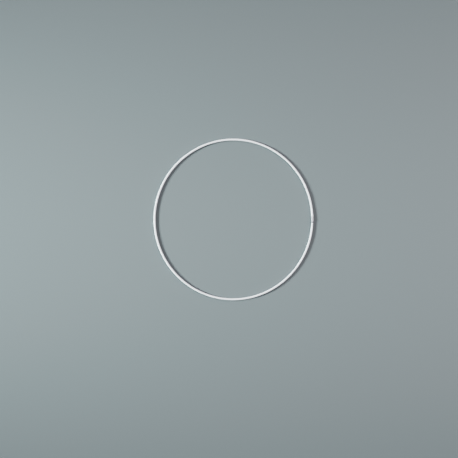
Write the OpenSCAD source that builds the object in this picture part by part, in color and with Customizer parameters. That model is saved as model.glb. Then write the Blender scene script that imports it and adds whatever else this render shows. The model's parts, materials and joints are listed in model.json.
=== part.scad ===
// Wreath frame: a hoop of white plastic-coated steel wire, closed by one butt weld.
// The hoop lies flat on the XY plane with +Z up. The origin is the hoop's centre on the
// surface that it rests on, and the weld is where +X crosses the wire.
// Angles run counter-clockwise from +X, seen from above. Lengths are in millimetres.

/* [Hoop] */
// Outer diameter of the finished hoop
hoop_od = 250; // [150:10:400]
// Diameter of the bare steel wire
core_d = 2.4; // [2:0.1:4]
// Wall thickness of the white plastic coat
coat_t = 0.3; // [0.2:0.05:0.5]

/* [Weld] */
// Length of fused metal between the two wire ends
nugget_l = 1.4; // [0.8:0.1:2]
// Length of the upset collar that swells over both wire ends
collar_l = 8; // [6:0.5:8]
// How far the collar is pushed towards the outside of the hoop
collar_shift = 0.35; // [0.2:0.05:0.6]
// How far the middle of the collar swells beyond the bare wire's radius
collar_swell = 0.55; // [0.3:0.05:0.6]

/* [Joint finish] */
// Bare wire left on the side where the coat was cut square, from the weld's middle
bare_square = 5.4; // [4.5:0.1:7]
// Bare wire left on the side where the coat was melted back, from the weld's middle
bare_melted = 4; // [4:0.1:7]
// Length of the slope where the melted coat thins out to nothing
melt_l = 1.6; // [1.2:0.2:5]
// Thickness of the touch-up paint over the weld and the bare wire
paint_t = 0.18; // [0.1:0.02:0.18]

/* [Colours] */
// Plastic coat
coat_colour = "white"; // [white, ivory, green, black]
// Bare steel wire
steel_colour = "slategray"; // [slategray, lightsteelblue]
// Metal fused in the weld
weld_colour = "dimgray"; // [dimgray, gray]
// Touch-up paint
paint_colour = "silver"; // [silver, lightgray]

/* [Hidden] */

// Segments round the hoop, and round the wire and the weld
hoop_fn = 360;
$fn = 48;

core_r = core_d / 2;
wire_r = core_r + coat_t;
// Radius of the hoop at the wire's centre line
hoop_r = hoop_od / 2 - wire_r;

// The collar starts this far under the wire's skin, so that it emerges without a step
collar_sink = 0.1;
collar_r = core_r + collar_swell;
collar_end_r = core_r - collar_shift - collar_sink;
collar_rise = collar_r - collar_end_r;
// Radius of the arc through the collar's two ends and its crown
collar_arc_r = (pow(collar_l / 2, 2) + pow(collar_rise, 2)) / (2 * collar_rise);
// The welding jaws keep the painted collar flush with the coat, above and below
jaw_gap = 2 * (wire_r - paint_t);

// The cone that shapes the melted slope runs past both of its ends, for a clean cut
cone_over = 0.6;
cone_half_l = melt_l / 2 + cone_over;
cone_middle_r = core_r + coat_t / 2;
cone_taper = coat_t / melt_l * cone_half_l;

// Angle at the hoop's centre of a length along the wire's centre line
function turn(length) = length / hoop_r * 180 / PI;

// A stretch of round bar that follows the hoop between two angles
module hoop_bar(r, from = 0, to = 360) {
    translate([0, 0, wire_r])
        rotate_extrude(angle = to - from, start = from, $fn = hoop_fn)
            translate([hoop_r, 0])
                circle(r);
}

// Places its children on the wire, a length along it from the weld's middle. Their Z axis
// lies along the wire, back towards the weld, and their X axis points out of the hoop.
module on_wire(length, out = 0) {
    rotate(turn(length))
        translate([hoop_r + out, 0, wire_r])
            rotate([90, 0, 0])
                children();
}

// The turned shape of the upset metal, with its skin moved out by a margin
module upset(margin) {
    on_wire(0, collar_shift)
        rotate_extrude()
            intersection() {
                translate([collar_r - collar_arc_r, 0])
                    circle(collar_arc_r + margin, $fn = 180);
                translate([0, -collar_l / 2])
                    square([collar_r + margin, collar_l]);
            }
}

// The upset metal as the jaws leave it, with its skin moved out by a margin
module weld_metal(margin = 0) {
    intersection() {
        upset(margin);
        on_wire(0)
            cube([6 * wire_r, jaw_gap + 2 * margin, 2 * collar_l], center = true);
    }
}

// All that lies inside the sloping skin of the melted coat
module melt_cone() {
    on_wire(bare_melted + melt_l / 2)
        cylinder(
            h = 2 * cone_half_l,
            r1 = cone_middle_r + cone_taper,
            r2 = cone_middle_r - cone_taper,
            center = true
        );
}

// The coat that was lost to the heat, round the sloping skin
module melted_away() {
    difference() {
        on_wire(bare_melted + melt_l / 2)
            cylinder(h = 2 * cone_half_l, r = 2 * wire_r, center = true);
        melt_cone();
    }
}

module wire_core() {
    color(steel_colour)
        hoop_bar(core_r, turn(nugget_l / 2), 360 - turn(nugget_l / 2));
}

module butt_weld() {
    color(weld_colour)
        difference() {
            weld_metal();
            wire_core();
        }
}

module white_coating() {
    color(coat_colour)
        difference() {
            hoop_bar(wire_r, turn(bare_melted - cone_over / 2), 360 - turn(bare_square));
            hoop_bar(core_r);
            melted_away();
        }
}

module joint_paint() {
    color(paint_colour)
        difference() {
            union() {
                hoop_bar(core_r + paint_t, -turn(bare_square), turn(bare_melted + melt_l));
                weld_metal(paint_t);
            }
            hoop_bar(core_r);
            weld_metal();
            melt_cone();
        }
}

wire_core();
butt_weld();
white_coating();
joint_paint();
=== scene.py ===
"""A wreath frame: a hoop of white plastic-coated wire with one painted butt weld, lying on a
plain pale surface under soft studio light. Lengths are in metres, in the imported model's frame."""
import json
import math

import bpy
from mathutils import Matrix, Vector, noise


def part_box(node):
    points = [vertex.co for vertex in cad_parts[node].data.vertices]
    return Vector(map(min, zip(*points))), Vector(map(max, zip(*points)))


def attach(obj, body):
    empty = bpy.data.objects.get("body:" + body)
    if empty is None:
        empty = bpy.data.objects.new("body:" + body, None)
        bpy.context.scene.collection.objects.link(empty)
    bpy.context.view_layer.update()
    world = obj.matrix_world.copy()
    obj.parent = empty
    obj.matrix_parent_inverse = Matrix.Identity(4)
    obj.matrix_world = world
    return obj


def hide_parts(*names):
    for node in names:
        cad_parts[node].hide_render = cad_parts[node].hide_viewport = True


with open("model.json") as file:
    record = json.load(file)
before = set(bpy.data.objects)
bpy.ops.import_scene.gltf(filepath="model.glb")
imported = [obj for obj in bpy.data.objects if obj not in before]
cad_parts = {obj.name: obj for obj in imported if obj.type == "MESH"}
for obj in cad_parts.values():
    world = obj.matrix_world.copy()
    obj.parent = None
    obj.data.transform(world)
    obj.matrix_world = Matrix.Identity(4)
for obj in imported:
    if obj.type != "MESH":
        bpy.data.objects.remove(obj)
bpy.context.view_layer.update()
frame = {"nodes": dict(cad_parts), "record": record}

MM = 0.001

# ---------------------------------------------------------------- sizes, all from the frame

record = frame["record"]
mounts = {mount["name"]: mount for mount in record["mounts"]}
WIRE_R = mounts["rim"]["dims"]["r_mm"] * MM
HOOP_R = mounts["resting_circle"]["dims"]["r_mm"] * MM
HOOP_LENGTH = 2 * math.pi * HOOP_R


def coat_ends():
    """Lengths along the wire, from the weld, at which the CAD coat begins and stops."""
    points = [v.co for v in frame["nodes"]["white_coating"].data.vertices if v.co.x > 0]
    angles = [math.atan2(p.y, p.x) for p in points]
    begins = min(angle for angle in angles if angle > 0)
    stops = max(angle for angle in angles if angle < 0)
    return begins * HOOP_R, stops * HOOP_R


core_low, core_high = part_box("wire_core")
weld_low, weld_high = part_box("butt_weld")
paint_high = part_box("joint_paint")[1]

CORE_R = (core_high.z - core_low.z) / 2
COAT_BEGINS, COAT_STOPS = coat_ends()
COLLAR_R = (weld_high.x - weld_low.x) / 2
COLLAR_SHIFT = (weld_high.x + weld_low.x) / 2 - HOOP_R
COLLAR_HALF_L = weld_high.y
COLLAR_HALF_H = (weld_high.z - weld_low.z) / 2
PAINT_T = paint_high.x - weld_high.x

# ---------------------------------------------------------------- how the surfaces vary

# On the whole the coat lies this far under its CAD skin, and its waves and its lip together take
# up less than that. Only the swelling at its melted end stands above the CAD skin.
COAT_SLACK = 0.045 * MM
COAT_WAVES = (
    # (height, length along the wire, turns round the wire)
    (0.012 * MM, 19 * MM, 0.7),
    (0.006 * MM, 2.6 * MM, 1.6),
)
LIP_HEIGHT = 0.02 * MM
LIP_LENGTH = 0.5 * MM
CUT_ROUNDING = 0.07 * MM
MELT_LENGTH = 1.6 * MM
MELT_RAGGED = 0.5 * MM
THINNEST = 0.012 * MM
# The molten coat was pushed outwards, in a swelling just past its slope
MELT_SWELL = 0.26 * MM
SWELL_PLACE = 1.7 * MM
SWELL_LENGTH = 2.0 * MM

PAINT_RUN_OUT = 3.6 * MM
PAINT_RAGGED = 1.3 * MM
PAINT_FADE = 4.6 * MM
# The brush missed a crescent of bare wire beside the square cut, near the top of the wire.
# Its turn and its half-width round the wire are in radians.
MISSED_LENGTH = 1.8 * MM
MISSED_TURN = 1.2
MISSED_HALF_TURN = 0.45
# Runs of paint filled the hollows at both ends of the collar, towards the outside of the hoop
RUN_PLACES = (COAT_STOPS + 1.1 * MM, COAT_BEGINS + 0.3 * MM)
RUN_HEIGHT = 0.46 * MM
RUN_LENGTH = 1.2 * MM
PAINT_WAVE = 0.035 * MM
# How blunt the collar's outline is along the wire: 2 is a parabola
COLLAR_BLUNTNESS = 2.6
FLASH_HEIGHT = 0.09 * MM
FLASH_WIDTH = 0.45 * MM
SOFTEN = 0.12 * MM
# Least sine used where a flat plane limits a skin, so that the limit stays finite
LEAST_SINE = 0.01

# Points round the wire, and the spacing of the rings along it
SIDES = 36
SLOPE_STEP = 0.3 * MM
BODY_STEP = 0.6 * MM
CUT_STEP = 0.05 * MM
INNER_STEP = 2 * MM
PAINT_RINGS = 150
# Edges that turn by more than this are shaded as sharp
SHARP_TURN = math.radians(50)


def clamp(value, low=0.0, high=1.0):
    return max(low, min(high, value))


def ease(value):
    """Goes smoothly from 0 to 1 as value does."""
    t = clamp(value)
    return t * t * (3 - 2 * t)


def blended_max(a, b, softness):
    """The larger of two lengths, with a fillet where they meet."""
    return (a + b + math.hypot(a - b, softness)) / 2


def wave(s, turn, length, around, seed=0.0):
    """Smooth noise from -1 to 1 over the wire's surface: s along the wire, turn round it."""
    return noise.noise(Vector((s / length, around * math.cos(turn), seed + around * math.sin(turn))))


# ---------------------------------------------------------------- reach of each skin
# Each gives how far a skin stands from the wire's centre line. turn is 0 towards the outside
# of the hoop and a quarter turn upwards.


def bell(distance, width):
    """1 in the middle of a rounded bump, and next to nothing at twice its width."""
    return math.exp(-((distance / width) ** 2))


def outwards(turn):
    """1 towards the outside of the hoop, falling to 0 above and below."""
    return max(0.0, math.cos(turn)) ** 1.5


def to_flat(half_height, turn):
    """How far off a flat plane is, above or below the wire's centre line."""
    return half_height / max(abs(math.sin(turn)), LEAST_SINE)


def coat_reach(s, turn):
    """The coat's outer skin, at a length s along the wire from the weld, counted the long way."""
    full = WIRE_R - COAT_SLACK
    full += sum(height * wave(s, turn, length, around) for height, length, around in COAT_WAVES)
    left = HOOP_LENGTH + COAT_STOPS - s
    full += LIP_HEIGHT * bell(left - LIP_LENGTH, LIP_LENGTH)
    full += MELT_SWELL * bell(s - COAT_BEGINS - SWELL_PLACE, SWELL_LENGTH) * outwards(turn)
    full -= CUT_ROUNDING * clamp(1 - left / CUT_ROUNDING) ** 2
    rise = ease((s - melt_edge(turn)) / MELT_LENGTH) ** 0.8
    return max(CORE_R + THINNEST, CORE_R + (full - CORE_R) * rise)


def melt_edge(turn):
    """Where the melted coat thins out to nothing."""
    ragged = wave(0, turn, MM, 1.1, seed=7) + 0.3 * wave(0, turn, MM, 3, seed=3)
    return COAT_BEGINS + MELT_RAGGED * ragged


def collar_reach(s, turn):
    """The weld's swollen collar, with a ridge of flash where the two wire ends met."""
    crown = COLLAR_R - FLASH_HEIGHT
    rise = crown + COLLAR_SHIFT - CORE_R
    radius = crown - rise * abs(s / COLLAR_HALF_L) ** COLLAR_BLUNTNESS
    radius += FLASH_HEIGHT * bell(s, FLASH_WIDTH) * (0.7 + 0.5 * wave(s, turn, MM, 1.5, seed=11))
    across = radius ** 2 - (COLLAR_SHIFT * math.sin(turn)) ** 2
    if radius <= 0 or across <= 0:
        return 0.0
    return COLLAR_SHIFT * math.cos(turn) + math.sqrt(across)


def under_paint(s, turn):
    """What the paint lies on: the bare wire, the weld or the melted coat."""
    metal = blended_max(CORE_R, collar_reach(s, turn), SOFTEN)
    metal = min(metal, to_flat(COLLAR_HALF_H, turn))
    if s > melt_edge(turn):
        return max(metal, coat_reach(s, turn) + THINNEST)
    return metal


def paint_reach(s, turn, edge_left):
    """The paint's outer skin. edge_left is how far the nearer edge of the paint is."""
    thick = PAINT_T + PAINT_WAVE * (wave(s, turn, 1.3 * MM, 1.8, seed=5) - 0.5)
    thick += (THINNEST - thick) * ease((s - COAT_BEGINS) / MELT_LENGTH)
    thick += sum(RUN_HEIGHT * bell(s - place, RUN_LENGTH) for place in RUN_PLACES) * outwards(turn)
    thick *= math.sqrt(clamp(edge_left / PAINT_T, 0.02, 1))
    reach = under_paint(s, turn) + thick
    return min(reach, to_flat(WIRE_R, turn))


def paint_edges(turn):
    """Where the paint begins, at the square cut, and where it runs out over the melted coat."""
    aside = math.remainder(turn - MISSED_TURN, math.tau)
    begins = COAT_STOPS + THINNEST + MISSED_LENGTH * bell(aside, MISSED_HALF_TURN)
    tongues = wave(0, turn, MM, 1.2, seed=21) + 0.5 * wave(0, turn, MM, 4, seed=23)
    return begins, COAT_BEGINS + MELT_LENGTH + PAINT_RUN_OUT + PAINT_RAGGED * tongues


# ---------------------------------------------------------------- meshes


def on_hoop(s, turn, reach):
    """A point at a length s along the wire, and a distance from its centre line."""
    radius = HOOP_R + reach * math.cos(turn)
    around = s / HOOP_R
    return (radius * math.cos(around), radius * math.sin(around), WIRE_R + reach * math.sin(turn))


def turns():
    return [math.tau * i / SIDES for i in range(SIDES)]


def between(start, stop, step):
    """Evenly spaced lengths from start to stop, both included."""
    count = max(1, math.ceil((stop - start) / step))
    return [start + (stop - start) * i / count for i in range(count + 1)]


def sleeve(name, outer, inner):
    """A closed sleeve between an outer and an inner skin, each a list of rings of points."""
    sides = len(outer[0])
    points = [point for ring in outer + inner for point in ring]
    inner_start = sides * len(outer)
    inner_last = inner_start + sides * (len(inner) - 1)
    outer_last = sides * (len(outer) - 1)

    def strip(a, b):
        """Quads between two rings that start at points a and b."""
        return [(a + i, b + i, b + (i + 1) % sides, a + (i + 1) % sides) for i in range(sides)]

    faces = []
    for k in range(len(outer) - 1):
        faces += strip(k * sides, (k + 1) * sides)
    for k in range(len(inner) - 1):
        faces += strip(inner_start + (k + 1) * sides, inner_start + k * sides)
    faces += strip(inner_start, 0)
    faces += strip(outer_last, inner_last)

    mesh = bpy.data.meshes.new(name)
    mesh.from_pydata(points, [], faces)
    mesh.validate()
    mesh.shade_smooth()
    mesh.set_sharp_from_angle(angle=SHARP_TURN)
    piece = bpy.data.objects.new(name, mesh)
    bpy.context.scene.collection.objects.link(piece)
    return piece


def build_coat():
    """The white coat: a long sleeve from its melted end round to its square-cut end."""
    start = COAT_BEGINS
    stop = HOOP_LENGTH + COAT_STOPS
    slope = between(start, start + 2 * MELT_LENGTH, SLOPE_STEP)
    body = between(slope[-1], stop - MM, BODY_STEP)
    cut = between(body[-1], stop, CUT_STEP)
    stations = slope + body[1:] + cut[1:]

    def moved(s, turn):
        """Carries a station along with the ragged melted edge."""
        return s + (melt_edge(turn) - start) * clamp(1 - (s - start) / MELT_LENGTH)

    outer = []
    for s in stations:
        places = [(moved(s, turn), turn) for turn in turns()]
        outer.append([on_hoop(at, turn, coat_reach(at, turn)) for at, turn in places])
    inner = []
    for s in between(start, stop, INNER_STEP):
        inner.append([on_hoop(moved(s, turn), turn, CORE_R) for turn in turns()])
    return sleeve("coat", outer, inner)


def build_paint():
    """The touch-up paint: a thin sleeve over the weld and the bare wire, brushed on."""
    outer, inner = [], []
    for k in range(PAINT_RINGS + 1):
        outer_ring, inner_ring = [], []
        for turn in turns():
            begins, ends = paint_edges(turn)
            s = begins + (ends - begins) * k / PAINT_RINGS
            edge_left = min(s - begins, ends - s)
            outer_ring.append(on_hoop(s, turn, paint_reach(s, turn, edge_left)))
            inner_ring.append(on_hoop(s, turn, under_paint(s, turn)))
        outer.append(outer_ring)
        inner.append(inner_ring)
    return sleeve("paint", outer, inner)


# ---------------------------------------------------------------- materials


class Shader:
    """A node material with one Principled surface, built a node at a time."""

    def __init__(self, name, constants):
        self.material = bpy.data.materials.new(name)
        self.material.use_nodes = True
        self.tree = self.material.node_tree
        self.surface = self.tree.nodes["Principled BSDF"]
        for socket, value in constants.items():
            self.surface.inputs[socket].default_value = value

    def add(self, kind, inputs=None, **settings):
        """Adds a node. An input is a value, or an output socket to link from."""
        node = self.tree.nodes.new(kind)
        for key, value in settings.items():
            setattr(node, key, value)
        for key, value in (inputs or {}).items():
            if isinstance(value, bpy.types.NodeSocket):
                self.tree.links.new(value, node.inputs[key])
            else:
                node.inputs[key].default_value = value
        return node

    def place(self):
        """The point on the piece, in metres."""
        return self.add("ShaderNodeTexCoord").outputs["Object"]

    def math(self, operation, a, b=0.0):
        return self.add("ShaderNodeMath", {0: a, 1: b}, operation=operation).outputs[0]

    def along_wire(self):
        """(length along the wire from the weld, distance out from the centre line, height)."""
        at = self.add("ShaderNodeSeparateXYZ", {0: self.place()})
        turn = self.math("ARCTAN2", at.outputs["Y"], at.outputs["X"])
        flat = self.add("ShaderNodeCombineXYZ", {"X": at.outputs["X"], "Y": at.outputs["Y"]})
        length = self.add("ShaderNodeVectorMath", {0: flat.outputs[0]}, operation="LENGTH")
        s = self.math("MULTIPLY", turn, HOOP_R)
        out = self.math("SUBTRACT", length.outputs["Value"], HOOP_R)
        return self.add("ShaderNodeCombineXYZ", {"X": s, "Y": out, "Z": at.outputs["Z"]}).outputs[0]

    def length_along(self):
        """Length along the wire from the weld."""
        return self.add("ShaderNodeSeparateXYZ", {0: self.along_wire()}).outputs["X"]

    def stretched(self, along, across):
        """Coordinates whose unit is a given length along the wire, and another across it."""
        scale = (1 / along, 1 / across, 1 / across)
        mapped = self.add("ShaderNodeVectorMath", {0: self.along_wire(), 1: scale}, operation="MULTIPLY")
        return mapped.outputs[0]

    def grain(self, vector, scale=1.0, detail=2.0, roughness=0.5):
        """Noise from 0 to 1."""
        values = {"Vector": vector, "Scale": scale, "Detail": detail, "Roughness": roughness}
        return self.add("ShaderNodeTexNoise", values).outputs[0]

    def remap(self, value, low, high, to_low=0.0, to_high=1.0, smooth=False):
        inputs = {"Value": value, 1: low, 2: high, 3: to_low, 4: to_high}
        kind = "SMOOTHSTEP" if smooth else "LINEAR"
        return self.add("ShaderNodeMapRange", inputs, interpolation_type=kind).outputs[0]

    def mix(self, factor, a, b):
        """A colour between a and b."""
        return self.add("ShaderNodeMix", {0: factor, 6: a, 7: b}, data_type="RGBA").outputs[2]

    def colour(self, value):
        self.tree.links.new(value, self.surface.inputs["Base Color"])

    def roughness(self, value):
        self.tree.links.new(value, self.surface.inputs["Roughness"])

    def bump(self, *layers):
        """Stacks bumps. Each layer is (height from 0 to 1, depth in metres)."""
        normal = None
        for height, depth in layers:
            inputs = {"Height": height, "Strength": 1.0, "Distance": depth}
            if normal is not None:
                inputs["Normal"] = normal
            normal = self.add("ShaderNodeBump", inputs).outputs[0]
        self.tree.links.new(normal, self.surface.inputs["Normal"])


# Colours, as linear red, green, blue and alpha
WHITE = (0.86, 0.90, 0.94, 1)
WHITE_WORN = (0.81, 0.85, 0.89, 1)
DUST = (0.45, 0.45, 0.43, 1)
PAINT_LIGHT = (0.49, 0.50, 0.54, 1)
PAINT_DARK = (0.36, 0.37, 0.41, 1)
# Painted shade: the darker paint colour used near the square cut
PAINT_SHADED = (0.24, 0.25, 0.28, 1)
STEEL_DARK = (0.36, 0.36, 0.36, 1)
STEEL_LIGHT = (0.5, 0.5, 0.5, 1)
RUST = (0.2, 0.09, 0.04, 1)
SCALE = (0.07, 0.07, 0.08, 1)
TEMPER_BLUE = (0.12, 0.14, 0.2, 1)
TEMPER_STRAW = (0.3, 0.22, 0.13, 1)
WELD_GREY = (0.3, 0.3, 0.3, 1)
FLOOR_DARK = (0.177, 0.208, 0.216, 1)
FLOOR_LIGHT = (0.185, 0.216, 0.224, 1)
# How far the brush streaks fray the paint's changes of colour along the wire
PAINT_FRAY = 2.4 * MM
# Painted shade: the paint's colour is darker between these lengths from the square cut, standing in for
# the shade in the hollow by the cut
PAINTED_SHADE_ZONE = (MM, 5 * MM)


def coat_material():
    """Satin white plastic: faint mottling, streaks along the wire, specks and orange peel."""
    shader = Shader("white_coat", {"Specular IOR Level": 0.5})
    mottle = shader.grain(shader.place(), scale=70, detail=3)
    streaks = shader.grain(shader.stretched(9 * MM, 0.35 * MM), detail=3)
    worn = shader.remap(shader.math("ADD", mottle, streaks), 0.9, 1.4)
    specks = shader.remap(shader.grain(shader.place(), scale=1700, detail=1), 0.74, 0.80)
    clean = shader.mix(worn, WHITE, WHITE_WORN)
    shader.colour(shader.mix(specks, clean, DUST))
    shader.roughness(shader.remap(streaks, 0.3, 0.7, 0.32, 0.48))
    peel = shader.grain(shader.place(), scale=1400, detail=2)
    shader.bump((streaks, 0.01 * MM), (peel, 0.02 * MM))
    return shader.material


def paint_material():
    """Silver-grey touch-up paint: streaks, flakes, painted shade near the square cut and a thin edge
    over the white.
    """
    shader = Shader("silver_paint", {"Metallic": 0.15})
    streaks = shader.grain(shader.stretched(2.5 * MM, 0.22 * MM), detail=4, roughness=0.6)
    flakes = shader.grain(shader.place(), scale=9000, detail=1)
    tone = shader.remap(shader.math("ADD", streaks, flakes), 0.75, 1.25)
    body = shader.mix(tone, PAINT_DARK, PAINT_LIGHT)
    along = shader.length_along()
    frayed = shader.math("ADD", along, shader.math("MULTIPLY", streaks, PAINT_FRAY))
    # Painted shade: the paint is coloured darker near the square cut, for the shade in the hollow by the
    # cut
    shade_from, shade_to = (COAT_STOPS + place for place in PAINTED_SHADE_ZONE)
    painted_shade = shader.remap(frayed, shade_from, shade_to, 1.0, 0.0, smooth=True)
    body = shader.mix(painted_shade, body, PAINT_SHADED)
    thin = shader.remap(frayed, COAT_BEGINS, COAT_BEGINS + PAINT_FADE, smooth=True)
    shader.colour(shader.mix(thin, body, WHITE))
    shader.roughness(shader.remap(streaks, 0.3, 0.7, 0.3, 0.5))
    shader.bump((streaks, 0.03 * MM), (flakes, 0.004 * MM))
    return shader.material


def steel_material():
    """Drawn steel wire: die lines along it, a trace of rust, and dark scale near the weld."""
    shader = Shader("steel_wire", {"Metallic": 1.0})
    lines = shader.grain(shader.stretched(25 * MM, 0.12 * MM), detail=4)
    rust = shader.remap(shader.grain(shader.place(), scale=500, detail=4), 0.62, 0.75)
    away = shader.math("ABSOLUTE", shader.length_along())
    cool = shader.remap(away, -COAT_STOPS, -2 * COAT_STOPS, smooth=True)
    bright = shader.mix(rust, shader.mix(lines, STEEL_DARK, STEEL_LIGHT), RUST)
    shader.colour(shader.mix(cool, SCALE, bright))
    shader.roughness(shader.remap(lines, 0.3, 0.7, 0.25, 0.5))
    shader.bump((lines, 0.006 * MM))
    return shader.material


def weld_material():
    """Fused steel: dark, scaly, and tinted by the heat."""
    shader = Shader("weld_metal", {"Metallic": 0.85})
    scale_marks = shader.grain(shader.place(), scale=1600, detail=4, roughness=0.65)
    tint = shader.remap(shader.grain(shader.stretched(1.5 * MM, 3 * MM), detail=1), 0.35, 0.65)
    heated = shader.mix(tint, TEMPER_BLUE, TEMPER_STRAW)
    shader.colour(shader.mix(scale_marks, heated, WELD_GREY))
    shader.roughness(shader.remap(scale_marks, 0.3, 0.7, 0.4, 0.7))
    shader.bump((scale_marks, 0.05 * MM))
    return shader.material


def floor_material():
    """A plain pale board with the faintest tooth."""
    shader = Shader("floor", {"Specular IOR Level": 0.2, "Roughness": 0.85})
    tooth = shader.grain(shader.place(), scale=900, detail=3)
    shader.colour(shader.mix(tooth, FLOOR_DARK, FLOOR_LIGHT))
    shader.bump((tooth, 0.02 * MM))
    return shader.material


def dress(piece, material):
    """Gives a piece its only material."""
    piece.data.materials.clear()
    piece.data.materials.append(material)


# ---------------------------------------------------------------- the pieces

coat = build_coat()
dress(coat, coat_material())
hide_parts("white_coating")
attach(coat, "root")

paint = build_paint()
dress(paint, paint_material())
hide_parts("joint_paint")
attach(paint, "root")

dress(frame["nodes"]["wire_core"], steel_material())
dress(frame["nodes"]["butt_weld"], weld_material())

# ---------------------------------------------------------------- the studio

# The camera looks almost straight down. It leans to the left of the hoop, which it keeps a
# little above the middle of the picture.
CAMERA_DISTANCE = 1.574
CAMERA_HEADING = 171
CAMERA_ELEVATION = 81
CAMERA_LENS = 80
LOOK_AT = (-0.00815, -0.01455, 0)
# Lamps: distance, heading and elevation from the hoop, power in watts, side, spread and colour
LAMPS = {
    "key": (2.0, 178, 22, 3.6, 0.34, 40, (0.89, 1.0, 0.98)),
    "key_spill": (5.5, 178, 22, 63, 0.94, 120, (0.89, 1.0, 0.98)),
    "right_fill": (1.2, 0, 35, 2.7, 0.6, 120, (1.0, 0.88, 0.88)),
    "back_fill": (5.5, 75, 40, 42, 2.4, 120, (1.0, 0.87, 0.90)),
}
LAMP_AIM = (-0.02, -0.03, 0)
AMBIENT = (0.97, 0.94, 0.96, 1)
AMBIENT_STRENGTH = 0.32
FLOOR_HALF = 8.0
FLOOR_GAP = 0.02 * MM


def build_floor():
    """A wide flat floor, just under the hoop."""
    signs = ((-1, -1), (1, -1), (1, 1), (-1, 1))
    corners = [(x * FLOOR_HALF, y * FLOOR_HALF, -FLOOR_GAP) for x, y in signs]
    mesh = bpy.data.meshes.new("floor")
    mesh.from_pydata(corners, [], [(0, 1, 2, 3)])
    floor = bpy.data.objects.new("floor", mesh)
    bpy.context.scene.collection.objects.link(floor)
    dress(floor, floor_material())


def aim(thing, place, target, up=(0, 1, 0)):
    """Puts a camera or lamp at a place, looking at a target, with up at the top of its view."""
    back = (Vector(place) - Vector(target)).normalized()
    right = Vector(up).cross(back).normalized()
    turned = Matrix((right, back.cross(right), back)).transposed().to_4x4()
    thing.matrix_world = Matrix.Translation(place) @ turned


def polar(distance, heading, elevation):
    """A place seen from the origin at a heading, counter-clockwise from +X, and an elevation."""
    rise, turn = math.radians(elevation), math.radians(heading)
    flat = distance * math.cos(rise)
    return Vector((flat * math.cos(turn), flat * math.sin(turn), distance * math.sin(rise)))


def soft_box(name, settings, target):
    """A square area lamp."""
    distance, heading, elevation, power, side, spread, colour = settings
    data = bpy.data.lights.new(name, "AREA")
    data.energy = power
    data.size = side
    data.spread = math.radians(spread)
    data.color = colour
    light = bpy.data.objects.new(name, data)
    bpy.context.scene.collection.objects.link(light)
    aim(light, polar(distance, heading, elevation), target)


def build_camera():
    """The camera that the main picture is taken with."""
    data = bpy.data.cameras.new("camera")
    data.lens = CAMERA_LENS
    camera = bpy.data.objects.new("camera", data)
    bpy.context.scene.collection.objects.link(camera)
    place = Vector(LOOK_AT) + polar(CAMERA_DISTANCE, CAMERA_HEADING, CAMERA_ELEVATION)
    aim(camera, place, LOOK_AT)
    bpy.context.scene.camera = camera


def build_world():
    """Even light from all round."""
    world = bpy.data.worlds.new("studio")
    world.use_nodes = True
    background = world.node_tree.nodes["Background"]
    background.inputs["Color"].default_value = AMBIENT
    background.inputs["Strength"].default_value = AMBIENT_STRENGTH
    bpy.context.scene.world = world


build_floor()
build_camera()
build_world()
for name, settings in LAMPS.items():
    soft_box(name, settings, LAMP_AIM)
bpy.context.scene.view_settings.view_transform = "AgX"
bpy.context.scene.view_settings.look = "AgX - High Contrast"
